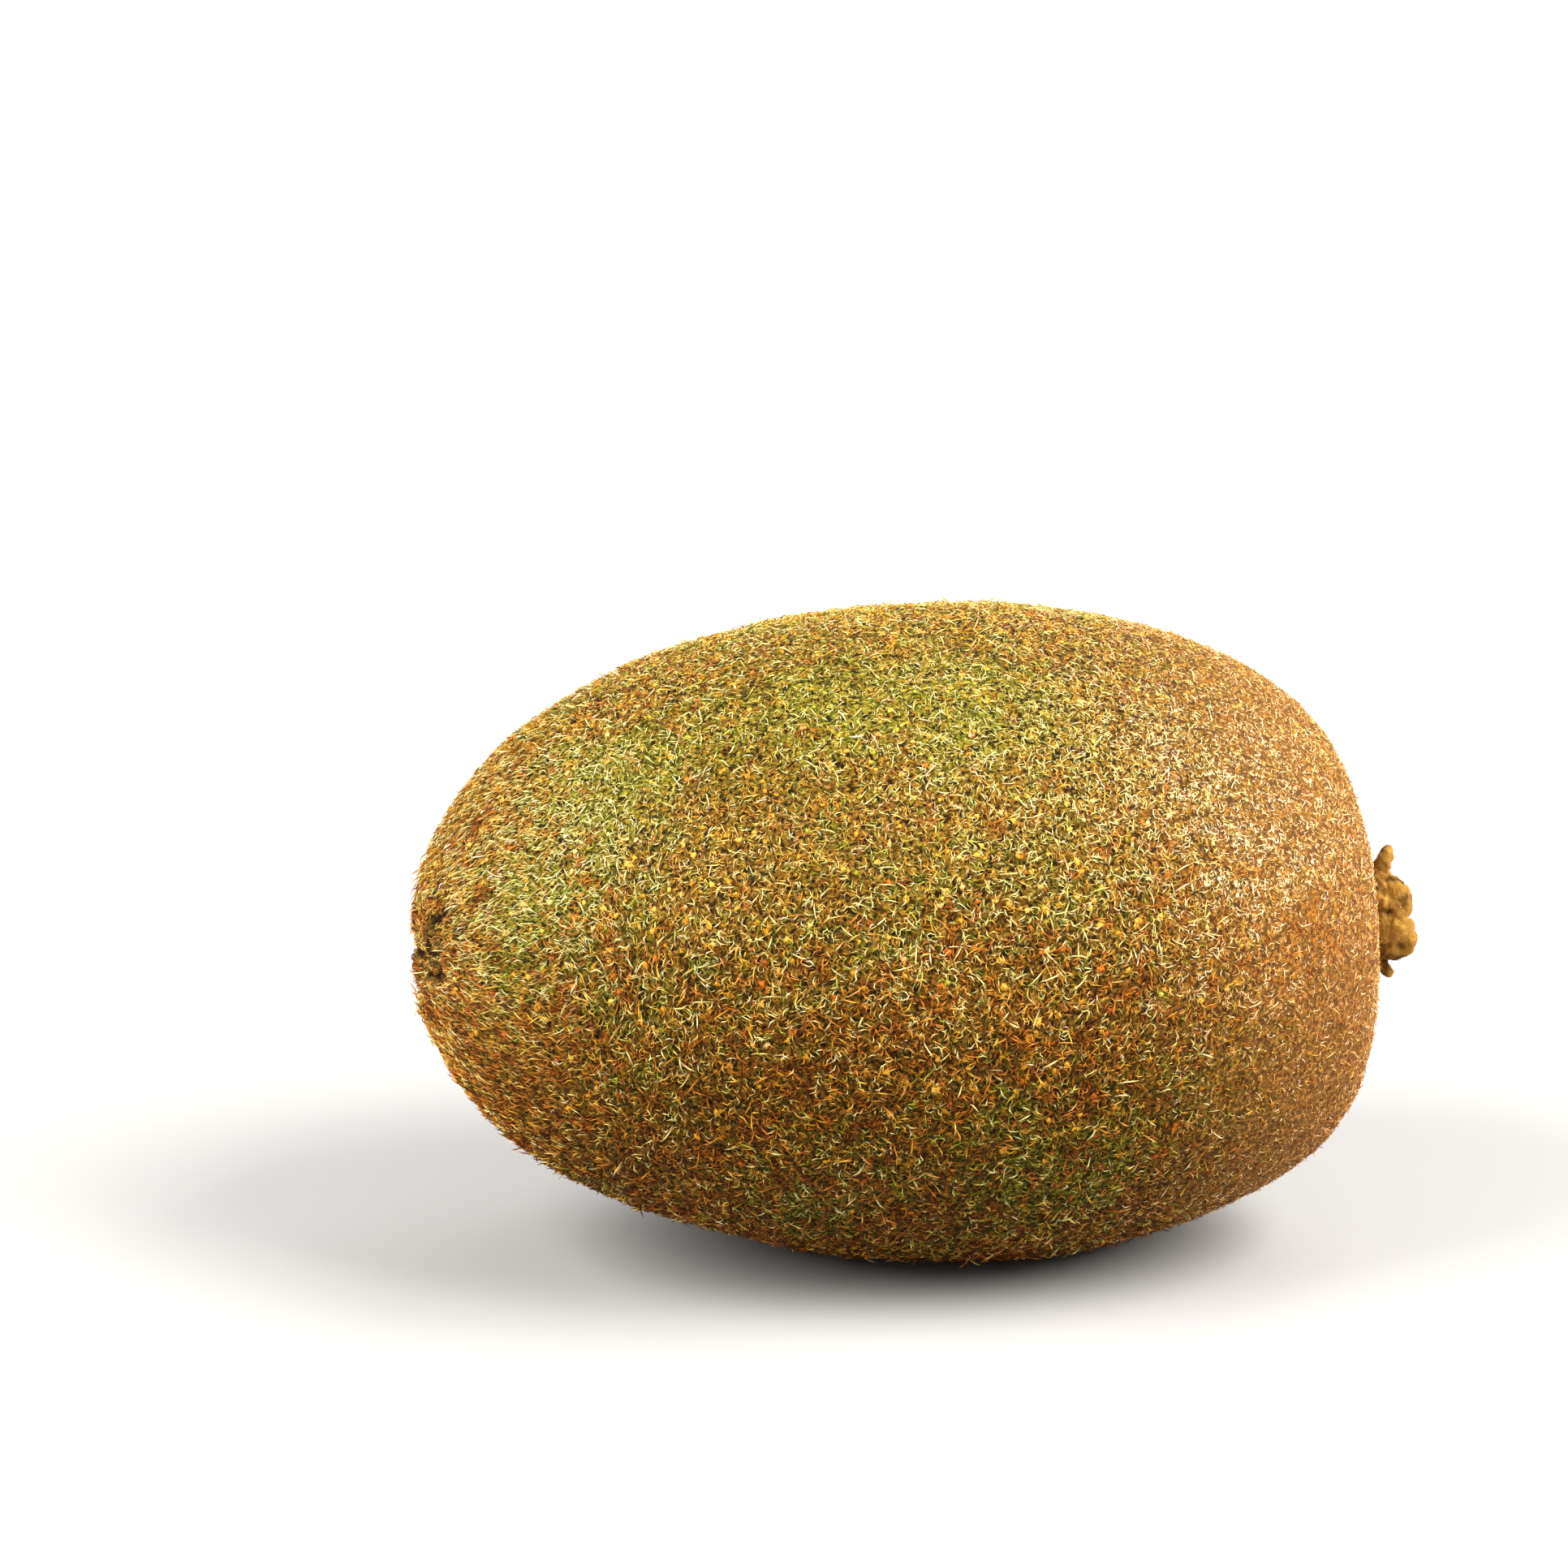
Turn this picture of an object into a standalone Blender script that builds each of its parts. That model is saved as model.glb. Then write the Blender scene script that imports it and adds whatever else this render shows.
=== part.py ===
"""A whole kiwi fruit lying on its side, as picked: the fruit, its dried calyx, the scar of its stalk and its styles.

Units are metres and +Z is up. The fruit's long axis runs level along X, with the style end at -X and the stalk end at
+X. The origin is on the surface that the fruit rests on, under the middle of its bounding box.
"""

import math
import random

import bmesh
import bpy
import numpy as np
from mathutils import Matrix, Vector, noise
from mathutils.bvhtree import BVHTree

MM = 0.001

# The fruit, measured over its nap. Its widest station is nearer to the stalk end.
STYLE_HALF_LENGTH = 37.7 * MM
STALK_HALF_LENGTH = 27.7 * MM
WIDTH = 51.2 * MM
HEIGHT = 45.2 * MM
# The form of each half: how soon the girth falls away from the widest station, and how blunt the end is.
STYLE_END_FORM = (1.70, 2.30)
STALK_END_FORM = (1.40, 4.15)
WAIST_SOFTNESS = 0.15
RESTING_FLAT_DEPTH = 0.45 * MM

# The mesh of the fruit: rings from pole to pole, closer together towards both ends.
RINGS = 52
FACES_AROUND = 64
RING_CROWDING = 0.75
PROFILE_SAMPLES = 4000

# Slow unevenness of the skin, as height and wavelength.
WAVES = ((0.22 * MM, 19.0 * MM), (0.09 * MM, 7.5 * MM))
# Broad swellings and hollows in the fruit's own axes: x, y and z of the middle, height and reach, in millimetres.
SWELLINGS_MM = (
    (-22, 5, 18, 0.32, 9),
    (19, 5, 18, -0.14, 9),
    (26, 3, 10, -0.30, 7),
    (25, -3, -12, 0.85, 8),
    (12, -6, -21, 0.12, 9),
    (-4, -6, -21, -0.14, 9),
    (-18, -5, -18, -0.54, 9),
    (28, 0, 0, 0.90, 8),
    (-10, -25, 2, 0.25, 10),
    (8, 25, -3, 0.35, 11),
)

# The puckered style end: an upright dimple with a lip round it and creases that run out of it.
PUCKER_DEPTH = 2.2 * MM
PUCKER_REACH_ACROSS = 1.55 * MM
PUCKER_REACH_UPRIGHT = 2.1 * MM
PUCKER_LIP = 0.32 * MM
PUCKER_LIP_RADIUS = 4.0 * MM
PUCKER_LIP_REACH = 2.0 * MM
CREASES = 6
CREASE_DEPTH = 0.42 * MM
CREASE_RADIUS = 2.4 * MM

# The gap between any two pieces.
CLEARANCE = 0.32 * MM
# Edges that a union leaves shorter than this are drawn together.
SMALLEST_EDGE = 0.02 * MM

# The calyx: a lumpy collar that carries dried sepals.
COLLAR_INNER_RADIUS = 1.95 * MM
COLLAR_OUTER_RADIUS = 3.4 * MM
COLLAR_HEIGHT = 1.5 * MM
COLLAR_SECTIONS = 36
COLLAR_FACES_AROUND = 10
# Each sepal: its direction round the stalk, 0 being down and 90 to the back, its length and width,
# and its rise above flat at the root and at the tip.
SEPALS = (
    (-66, 2.5 * MM, 4.1 * MM, 18, 100),
    (-123, 2.4 * MM, 3.7 * MM, 14, 84),
    (174, 2.6 * MM, 3.0 * MM, 2, 44),
    (116, 2.7 * MM, 3.8 * MM, 8, 70),
    (58, 2.7 * MM, 3.9 * MM, 10, 86),
    (-5, 2.5 * MM, 3.0 * MM, 2, 50),
)
SEPAL_ROOT_RADIUS = 2.1 * MM
SEPAL_ROOT_HEIGHT = 0.65 * MM
SEPAL_THICKNESS = 1.05 * MM
SEPAL_CUP = 0.35 * MM
SEPAL_LUMPS = 0.16 * MM
SEPAL_LUMP_SIZE = 1.1 * MM
SEPAL_SECTIONS = 9
SEPAL_FACES_AROUND = 14

# The stub of the stalk inside the collar: a dished, broken face with a rim.
SCAR_RADIUS = 1.42 * MM
SCAR_HEIGHT = 1.5 * MM
SCAR_DISH = 0.5 * MM
SCAR_SIDES = 24

# The styles left at the bottom of the pucker: a knob with short dried stubs.
KNOB_RADIUS = 0.58 * MM
KNOB_HEIGHT = 0.60 * MM
STYLE_COUNT = 9
STYLE_LENGTH = 0.95 * MM
STYLE_ROOT_RADIUS = 0.30 * MM
STYLE_TIP_RADIUS = 0.20 * MM
STYLE_SIDES = 6
STYLE_SEED = 11


def clear_scene():
    for obj in list(bpy.data.objects):
        bpy.data.objects.remove(obj)


def finish(name, colour, roughness):
    """A plain material with the piece's colour and roughness."""
    material = bpy.data.materials.new(name)
    material.use_nodes = True
    shader = material.node_tree.nodes["Principled BSDF"]
    shader.inputs["Base Color"].default_value = (*colour, 1.0)
    shader.inputs["Roughness"].default_value = roughness
    shader.inputs["Metallic"].default_value = 0.0
    return material


def add_object(name, mesh, material):
    mesh.materials.append(material)
    mesh.shade_smooth()
    obj = bpy.data.objects.new(name, mesh)
    bpy.context.scene.collection.objects.link(obj)
    return obj


def mesh_from(bm, name):
    bmesh.ops.recalc_face_normals(bm, faces=bm.faces[:])
    mesh = bpy.data.meshes.new(name)
    bm.to_mesh(mesh)
    bm.free()
    return mesh


def skinned(rings, first_tip, last_tip):
    """A closed bmesh over rings of points, with a single point closing each end."""
    bm = bmesh.new()
    loops = [[bm.verts.new(point) for point in ring] for ring in rings]
    count = len(loops[0])
    for low, high in zip(loops, loops[1:]):
        for k in range(count):
            after = (k + 1) % count
            bm.faces.new((low[k], low[after], high[after], high[k]))
    for loop, tip in ((loops[0], first_tip), (loops[-1], last_tip)):
        end = bm.verts.new(tip)
        for k in range(count):
            bm.faces.new((loop[k], end, loop[(k + 1) % count]))
    bmesh.ops.recalc_face_normals(bm, faces=bm.faces[:])
    bm.normal_update()
    return bm


def fruit_profile():
    """Stations along X from the style pole to the stalk pole, and the share of the full girth at each."""
    turn = np.linspace(0, math.pi, PROFILE_SAMPLES)
    along = np.cos(turn)
    to_style = along > 0
    half = np.where(to_style, STYLE_HALF_LENGTH, STALK_HALF_LENGTH)
    fall = np.where(to_style, STYLE_END_FORM[0], STALK_END_FORM[0])
    blunt = np.where(to_style, STYLE_END_FORM[1], STALK_END_FORM[1])
    soft = np.sqrt(along**2 + WAIST_SOFTNESS**2) - WAIST_SOFTNESS
    away = soft / (math.hypot(1, WAIST_SOFTNESS) - WAIST_SOFTNESS)
    station = -along * half
    girth = np.maximum(1 - away**fall, 0) ** (1 / blunt)
    steps = np.hypot(np.diff(station), np.diff(girth) * HEIGHT / 2)
    length = np.concatenate([[0], np.cumsum(steps)])
    even = np.linspace(0, 1, RINGS + 2)
    crowded = (1 - np.cos(math.pi * even)) / 2
    wanted = ((1 - RING_CROWDING) * even + RING_CROWDING * crowded) * length[-1]
    return np.interp(wanted, length, station), np.interp(wanted, length, girth)


def unevenness(point):
    """The slow waves and the broad swellings of the skin at a point."""
    height = sum(size * noise.noise(point / wave) for size, wave in WAVES)
    for x, y, z, size, reach in SWELLINGS_MM:
        far = (point - Vector((x, y, z)) * MM).length / (reach * MM)
        height += size * MM * math.exp(-far * far)
    return height


def pucker(point):
    """The dimple at the style end, the lip round it, and the creases that run out of it."""
    radius = math.hypot(point.y, point.z)
    angle = math.atan2(point.z, point.y)
    wide = math.hypot(point.y / PUCKER_REACH_ACROSS, point.z / PUCKER_REACH_UPRIGHT)
    dimple = -PUCKER_DEPTH * math.exp(-wide * wide)
    lip = PUCKER_LIP * math.exp(-(((radius - PUCKER_LIP_RADIUS) / PUCKER_LIP_REACH) ** 2))
    share = (radius / CREASE_RADIUS) ** 2
    valley = (0.5 + 0.5 * math.cos(CREASES * angle + 1.1 * math.sin(2 * angle + 0.6))) ** 4
    crease = -CREASE_DEPTH * share * math.exp(1 - share) * valley
    return dimple + lip + crease


def fruit_mesh():
    """The fruit in its own axes, cut flat where it rests, and the height of that cut."""
    stations, girths = fruit_profile()
    angles = [2 * math.pi * k / FACES_AROUND for k in range(FACES_AROUND)]
    rings = [
        [(x, g * math.cos(a) * WIDTH / 2, g * math.sin(a) * HEIGHT / 2) for a in angles]
        for x, g in zip(stations[1:-1], girths[1:-1])
    ]
    bm = skinned(rings, (stations[0], 0, 0), (stations[-1], 0, 0))
    moves = []
    for vert in bm.verts:
        height = unevenness(vert.co)
        if vert.co.x < 0:
            height += pucker(vert.co)
        moves.append(vert.normal * height)
    for vert, move in zip(bm.verts, moves):
        vert.co += move

    floor = min(vert.co.z for vert in bm.verts) + RESTING_FLAT_DEPTH
    everything = bm.verts[:] + bm.edges[:] + bm.faces[:]
    cut = bmesh.ops.bisect_plane(
        bm, geom=everything, dist=1e-7, plane_co=(0, 0, floor), plane_no=(0, 0, -1), clear_outer=True
    )
    rim = [item for item in cut["geom_cut"] if isinstance(item, bmesh.types.BMEdge)]
    bmesh.ops.contextual_create(bm, geom=rim)
    return mesh_from(bm, "fruit"), floor


def turned_solid(profile, sides, lumps, lump_size):
    """A solid turned round Z from (radius, height) points that start and end on the axis, with lumps in its shape."""
    rings = []
    for radius, height in profile[1:-1]:
        ring = []
        for k in range(sides):
            angle = 2 * math.pi * k / sides
            point = Vector((radius * math.cos(angle), radius * math.sin(angle), height))
            ring.append(point * (1 + lumps * noise.noise(point / lump_size)))
        rings.append(ring)
    return skinned(rings, (0, 0, profile[0][1]), (0, 0, profile[-1][1]))


def collar_mesh():
    """The lumpy ring round the stalk, standing on Z = 0."""
    middle = (COLLAR_INNER_RADIUS + COLLAR_OUTER_RADIUS) / 2
    half_width = (COLLAR_OUTER_RADIUS - COLLAR_INNER_RADIUS) / 2
    bm = bmesh.new()
    loops = []
    for k in range(COLLAR_SECTIONS):
        around = 2 * math.pi * k / COLLAR_SECTIONS
        outward = Vector((math.cos(around), math.sin(around), 0))
        lump = 1 + 0.45 * noise.noise(outward * 2.3 + Vector((0, 0, 4.0)))
        loop = []
        for j in range(COLLAR_FACES_AROUND):
            turn = 2 * math.pi * j / COLLAR_FACES_AROUND
            radius = middle + half_width * math.cos(turn)
            height = COLLAR_HEIGHT * (0.5 + 0.5 * math.sin(turn)) * lump
            loop.append(bm.verts.new(outward * radius + Vector((0, 0, height))))
        loops.append(loop)
    for k in range(COLLAR_SECTIONS):
        low, high = loops[k], loops[(k + 1) % COLLAR_SECTIONS]
        for j in range(COLLAR_FACES_AROUND):
            after = (j + 1) % COLLAR_FACES_AROUND
            bm.faces.new((low[j], high[j], high[after], low[after]))
    return mesh_from(bm, "collar")


def sepal_mesh(length, width, root_rise, tip_rise, number):
    """One shrunken sepal: a thick, cupped tongue that leaves the collar along +X and curls upwards."""
    step = length / (SEPAL_SECTIONS - 1)
    radius, height = SEPAL_ROOT_RADIUS, SEPAL_ROOT_HEIGHT
    rings = []
    ends = []
    for i in range(SEPAL_SECTIONS):
        share = i / (SEPAL_SECTIONS - 1)
        rise = math.radians(root_rise + (tip_rise - root_rise) * share)
        ahead = Vector((math.cos(rise), 0, math.sin(rise)))
        above = Vector((-math.sin(rise), 0, math.cos(rise)))
        half_width = width / 2 * math.sin(math.pi * (0.22 + 0.62 * share)) ** 0.6
        half_thick = SEPAL_THICKNESS / 2 * (1.05 - 0.25 * share)
        middle = Vector((radius, 0, height))
        ring = []
        for j in range(SEPAL_FACES_AROUND):
            turn = 2 * math.pi * j / SEPAL_FACES_AROUND
            across = math.cos(turn)
            lift = half_thick * math.sin(turn) + SEPAL_CUP * across**2
            point = middle + Vector((0, half_width * across, 0)) + above * lift
            lump = noise.noise(point / SEPAL_LUMP_SIZE + Vector((number * 7.3, 0, 0)))
            ring.append(point + (point - middle).normalized() * SEPAL_LUMPS * lump)
        rings.append(ring)
        ends.append((middle, ahead))
        radius += ahead.x * step
        height += ahead.z * step
    first = ends[0][0] - ends[0][1] * 0.3 * MM
    last = ends[-1][0] + ends[-1][1] * 0.35 * MM
    return mesh_from(skinned(rings, first, last), "sepal")


def joined(name, pieces, material):
    """One closed body from overlapping meshes, by a Boolean union."""
    body = add_object(name, pieces[0], material)
    others = bpy.data.collections.new(name + "_pieces")
    bpy.context.scene.collection.children.link(others)
    for mesh in pieces[1:]:
        others.objects.link(bpy.data.objects.new(name + "_piece", mesh))
    union = body.modifiers.new("union", "BOOLEAN")
    union.operation = "UNION"
    union.operand_type = "COLLECTION"
    union.collection = others
    graph = bpy.context.evaluated_depsgraph_get()
    solid = bpy.data.meshes.new_from_object(body.evaluated_get(graph))
    bm = bmesh.new()
    bm.from_mesh(solid)
    bmesh.ops.triangulate(bm, faces=bm.faces[:])
    bmesh.ops.dissolve_degenerate(bm, edges=bm.edges[:], dist=SMALLEST_EDGE)
    bm.to_mesh(solid)
    bm.free()
    solid.shade_smooth()
    body.modifiers.clear()
    body.data = solid
    for piece in list(others.objects):
        bpy.data.objects.remove(piece)
    bpy.data.collections.remove(others)
    return body


def calyx(material):
    pieces = [collar_mesh()]
    for number, (around, *shape) in enumerate(SEPALS):
        sepal = sepal_mesh(*shape, number)
        sepal.transform(Matrix.Rotation(math.radians(around), 4, "Z"))
        pieces.append(sepal)
    return joined("calyx", pieces, material)


def stalk_scar(material):
    """The woody stub left where the stalk broke off, dished in the middle."""
    profile = (
        (0, 0),
        (0.80 * SCAR_RADIUS, 0),
        (0.98 * SCAR_RADIUS, 0.25 * SCAR_HEIGHT),
        (SCAR_RADIUS, 0.72 * SCAR_HEIGHT),
        (0.92 * SCAR_RADIUS, SCAR_HEIGHT),
        (0.72 * SCAR_RADIUS, 0.98 * SCAR_HEIGHT),
        (0.45 * SCAR_RADIUS, SCAR_HEIGHT - 0.7 * SCAR_DISH),
        (0.18 * SCAR_RADIUS, SCAR_HEIGHT - SCAR_DISH),
        (0, SCAR_HEIGHT - 0.8 * SCAR_DISH),
    )
    bm = turned_solid(profile, SCAR_SIDES, 0.12, 0.9 * MM)
    return add_object("stalk_scar", mesh_from(bm, "stalk_scar"), material)


def styles(material):
    """The knob at the bottom of the pucker, with dried stubs that lean outwards."""
    profile = (
        (0, 0),
        (0.55 * KNOB_RADIUS, 0),
        (KNOB_RADIUS, 0.45 * KNOB_HEIGHT),
        (0.75 * KNOB_RADIUS, 0.85 * KNOB_HEIGHT),
        (0, KNOB_HEIGHT),
    )
    pieces = [mesh_from(turned_solid(profile, 16, 0.15, 0.7 * MM), "knob")]
    draw = random.Random(STYLE_SEED)
    for k in range(STYLE_COUNT):
        inner = k % 3 == 0
        around = 2 * math.pi * (k + draw.uniform(-0.2, 0.2)) / STYLE_COUNT
        lean = math.radians(draw.uniform(8, 16) if inner else draw.uniform(16, 28))
        length = STYLE_LENGTH * draw.uniform(0.8, 1.1)
        bm = bmesh.new()
        bmesh.ops.create_cone(
            bm,
            cap_ends=True,
            segments=STYLE_SIDES,
            radius1=STYLE_ROOT_RADIUS,
            radius2=STYLE_TIP_RADIUS,
            depth=length,
        )
        place = (
            Matrix.Rotation(around, 4, "Z")
            @ Matrix.Translation((KNOB_RADIUS * (0.2 if inner else 0.5), 0, 0.3 * KNOB_HEIGHT))
            @ Matrix.Rotation(lean, 4, "Y")
            @ Matrix.Translation((0, 0, length / 2))
        )
        bmesh.ops.transform(bm, matrix=place, verts=bm.verts[:])
        pieces.append(mesh_from(bm, "style"))
    return joined("styles", pieces, material)


def stand_on_end(obj, skin, outward):
    """Brings a piece that was modelled facing +Z up to an end of the fruit, as near as CLEARANCE allows."""
    turn = Matrix.Rotation(math.radians(90) * outward, 4, "Y")
    points = [turn @ vert.co for vert in obj.data.vertices]
    half = STALK_HALF_LENGTH if outward > 0 else STYLE_HALF_LENGTH
    place = Vector((outward * (half + 5 * MM), 0, 0))
    for _ in range(60):
        gap = min(skin.find_nearest(point + place)[3] for point in points)
        place.x -= outward * (gap - CLEARANCE)
    obj.rotation_euler = turn.to_euler()
    obj.location = place


def set_down(pieces, floor):
    """Moves all pieces so that the cut is at Z = 0 and the whole object's box stands centred on the origin."""
    bpy.context.view_layer.update()
    points = [piece.matrix_world @ v.co for piece in pieces for v in piece.data.vertices]
    middle = [(max(p[k] for p in points) + min(p[k] for p in points)) / 2 for k in (0, 1)]
    for piece in pieces:
        piece.location -= Vector((middle[0], middle[1], floor))


def main():
    clear_scene()
    nap = finish("kiwi_nap", (0.27, 0.155, 0.045), 0.85)
    felt = finish("dried_sepal", (0.17, 0.090, 0.032), 0.90)
    wood = finish("scar_cork", (0.42, 0.330, 0.130), 0.80)
    husk = finish("dried_style", (0.055, 0.030, 0.016), 0.85)

    mesh, floor = fruit_mesh()
    skin = BVHTree.FromPolygons([v.co for v in mesh.vertices], [p.vertices[:] for p in mesh.polygons])
    fruit = add_object("fruit", mesh, nap)
    crown = calyx(felt)
    scar = stalk_scar(wood)
    tuft = styles(husk)
    stand_on_end(crown, skin, +1)
    stand_on_end(scar, skin, +1)
    stand_on_end(tuft, skin, -1)
    set_down((fruit, crown, scar, tuft), floor)


main()
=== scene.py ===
"""Looks for a kiwi fruit lying on its side: skin, hairs, dried calyx, stalk scar and style tuft.

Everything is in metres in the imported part's own frame: +X runs from the style end to the stalk end,
the fruit rests on z = 0, and the camera looks from the -Y side.
"""
import math
import bpy
import numpy as np
from mathutils import Matrix, Vector, noise


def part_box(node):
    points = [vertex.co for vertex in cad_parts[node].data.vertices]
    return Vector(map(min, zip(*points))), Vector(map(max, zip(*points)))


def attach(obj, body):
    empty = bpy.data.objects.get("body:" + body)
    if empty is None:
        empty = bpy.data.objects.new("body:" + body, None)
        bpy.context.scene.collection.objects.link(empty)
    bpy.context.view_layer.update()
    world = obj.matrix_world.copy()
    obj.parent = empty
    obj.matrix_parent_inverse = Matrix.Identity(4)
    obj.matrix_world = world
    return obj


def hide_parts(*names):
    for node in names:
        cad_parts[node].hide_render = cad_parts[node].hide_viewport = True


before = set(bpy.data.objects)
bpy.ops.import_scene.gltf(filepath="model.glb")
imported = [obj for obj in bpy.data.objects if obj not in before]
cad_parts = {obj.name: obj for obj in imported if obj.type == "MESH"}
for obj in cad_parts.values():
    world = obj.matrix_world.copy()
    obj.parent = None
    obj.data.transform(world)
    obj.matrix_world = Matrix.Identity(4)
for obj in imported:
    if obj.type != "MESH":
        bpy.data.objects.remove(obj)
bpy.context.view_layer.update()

MM = 0.001


def srgb(red, green, blue):
    """A colour picked as screen values from 0 to 255, as the linear values that a shader takes."""
    def linear(level):
        level /= 255.0
        return level / 12.92 if level <= 0.04045 else ((level + 0.055) / 1.055) ** 2.4
    return linear(red), linear(green), linear(blue), 1.0


# The fruit's two ends, and the way that its upper side faces, which is greener and paler: partly its own
# colour, partly painted light
STYLE_END = sum(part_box("styles"), Vector()) / 2
STALK_END = sum(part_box("stalk_scar"), Vector()) / 2
TOP_SIDE = Vector((-0.25, -0.25, 0.93))

# Camera: the photograph's viewing angle, worked out from the fruit's outline
VIEW_AZIMUTH = math.radians(-10.0)
VIEW_ELEVATION = math.radians(15.0)
VIEW_DISTANCE = 420.0 * MM
VIEW_AIM = Vector((3.025, -0.11, 22.089)) * MM
FOCAL_LENGTH = 138.8
SENSOR_WIDTH = 36.0
# The fruit's middle is off the middle of the picture by these, in pixels of the picture's width
IMAGE_WIDTH = 1932.0
AIM_RIGHT_OF_CENTRE = 218.3
AIM_BELOW_CENTRE = 176.6

# Soft boxes: name, place in metres, width in metres, power in watts, colour
SOFT_BOXES = (
    ("right_box", (0.46, -0.25, 0.47), 0.50, 12.4, (1.0, 0.97, 0.92)),
    ("left_box", (-0.50, -0.16, 0.43), 0.50, 9.0, (1.0, 0.99, 0.94)),
    ("back_box", (0.55, 0.75, 0.95), 0.80, 6.5, (1.0, 1.0, 1.0)),
)
# How much light the white air round the table gives; the camera itself sees it as plain white
AIR_LIGHT = 0.42
# Table: two greys near the fruit, the white it turns to further off, and the glow of its far part; the turn
# from grey to white and the glow are painted light
TABLE_WIDTH = 8.0
TABLE_GREYS = ((0.39, 0.39, 0.39, 1.0), (0.41, 0.408, 0.405, 1.0))
TABLE_WHITE = (0.90, 0.90, 0.90, 1.0)
TABLE_PAINTED_GLOW = (0.62, 0.62, 0.62, 1.0)
# From where to where the table turns white, and its glow sets in, in metres from the fruit
TURNS_WHITE = (0.10, 0.55)
GLOW_SETS_IN = (0.45, 0.9)

# Skin: how far it is sunk, so that the hairs fill up to the solid, and its lumps as size and height
SKIN_SINK = 0.16 * MM
SKIN_LUMPS = ((2.8 * MM, 0.10 * MM), (1.15 * MM, 0.10 * MM))
MERGE_DISTANCE = 0.005 * MM
FLOOR_GAP = 0.05 * MM
SKIN_BROWN = srgb(112, 66, 20)
SKIN_OLIVE = srgb(112, 92, 26)
SKIN_GREEN = srgb(112, 132, 28)
SKIN_TAN = srgb(156, 102, 50)
SKIN_SPECK = srgb(30, 20, 6)
# Painted shade in the gaps of the matted down: dark on the skin, lighter at the tan stalk end
GAP_SHADE = srgb(26, 17, 5)
TAN_GAP_SHADE = srgb(88, 56, 28)
# Painted shade in the bottoms of the creases and in the pit round the styles
CREASE_SHADE = srgb(36, 16, 8)
DOWN_FLECKS = ((0.1, srgb(84, 46, 14)), (0.35, srgb(160, 104, 30)), (0.6, srgb(206, 150, 56)),
               (0.75, srgb(140, 114, 38)), (0.9, srgb(92, 82, 24)))
DOWN_BEND = 0.5 * MM
SKIN_SHEEN = (1.0, 0.82, 0.42, 1.0)
HAIR_SHEEN = (1.0, 0.84, 0.42, 1.0)
# Where the skin turns tan towards the stalk, in metres along the fruit
SKIN_TURNS_TAN = (8.0 * MM, 27.0 * MM)

# Creases round the pucker: places across and up from the style end in mm, then depth and half width
CREASES = (
    (((-4.2, 3.9), (-4.6, 2.4), (-5.1, 0.9)), 1.0, 0.34),
    (((-4.3, 3.6), (-6.2, 4.1)), 0.4, 0.15),
    (((-5.0, 1.1), (-6.6, 1.6)), 0.5, 0.17),
    (((-7.2, 0.7), (-5.2, -0.4), (-3.4, -0.8), (-1.6, -0.6)), 0.7, 0.22),
    (((-3.4, 1.0), (-1.6, 0.3), (1.2, -0.7), (4.6, -1.0)), 0.6, 0.24),
    (((2.4, -2.4), (1.6, -4.4)), 0.4, 0.16),
    (((0.6, 1.8), (1.4, 3.6), (2.8, 5.6)), 0.4, 0.18),
)
# How far from the style end the creases reach, in mm
CREASE_REACH = 9.0
# The raised lip along a crease: its share of the depth, its distance and its width in mm
CREASE_LIP = (0.07, 1.2, 0.5)
# How deep and wide a crease still is at its ends, and how soon it swells to full
CREASE_ENDS = 0.4
CREASE_SWELL = 0.6
# How a crease wanders off its line: the size of the swings, and how far in mm
CREASE_WANDER = (1.4 * MM, 0.45)
# The pit that the styles stand in, painted dark as shade: full within the first distance in mm, gone by the
# second
PIT_REACH = (0.4, 1.5)
# Hairs on a crease's sides: how much shorter they are, and how soon
CREASE_SHORTER, CREASE_SOON = 0.55, 0.16
# Hairs that would cross a crease: how much shorter they are, how far along the hair that is looked at,
# and how dark the crease is there
CROSSING_SHORTER = 0.8
CROSSING_STEPS = (0.55, 1.0)
CROSSING_DARK = (0.1, 0.4)
# How dark a crease is where the hairs thin out, and where none grow
BARE_DARK = (0.1, 0.35)

# Coats of hair: how many hairs and how many to a piece at most; the shortest and the longest; how high
# they stand and how much that varies, in degrees; and their tone: how pale, how much that varies in
# clumps and by chance, and where given the weight of each row of tones
COATS = {
    "nap": {"count": 186000, "most": 62000, "lengths": (0.36 * MM, 0.66 * MM), "lift": (14, 10),
            "tone": (0.31, 0.14, 0.32), "seed": 101},
    "curly": {"count": 100000, "most": 20000, "lengths": (0.44 * MM, 0.92 * MM), "lift": (13, 10),
              "tone": (0.56, 0.16, 0.38), "seed": 202},
    "straw": {"count": 8000, "most": 8000, "lengths": (0.9 * MM, 1.6 * MM), "lift": (12, 9),
              "tone": (0.74, 0.14, 0.26), "seed": 303},
    "tuft": {"count": 4200, "most": 4200, "lengths": (0.55 * MM, 0.85 * MM), "lift": (0, 4),
             "tone": (0.46, 0.08, 0.10, (1.2, 3.0, 0.3, 0.8)), "seed": 404},
    "felt": {"count": 6000, "most": 6000, "lengths": (0.26 * MM, 0.50 * MM), "lift": (16, 10),
             "tone": (0.52, 0.26, 0.18), "seed": 505},
}
# Girth of each kind as a share of its length, and where it is cut into rings along its length
NAP_GIRTH, NAP_RINGS = 0.31, ()
CURLY_GIRTH, CURLY_RINGS = 0.155, (0.5,)
STRAW_GIRTH, STRAW_RINGS = 0.095, (0.35, 0.7)
# How much of its girth a ring keeps
RING_GIRTH = 0.82
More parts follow.
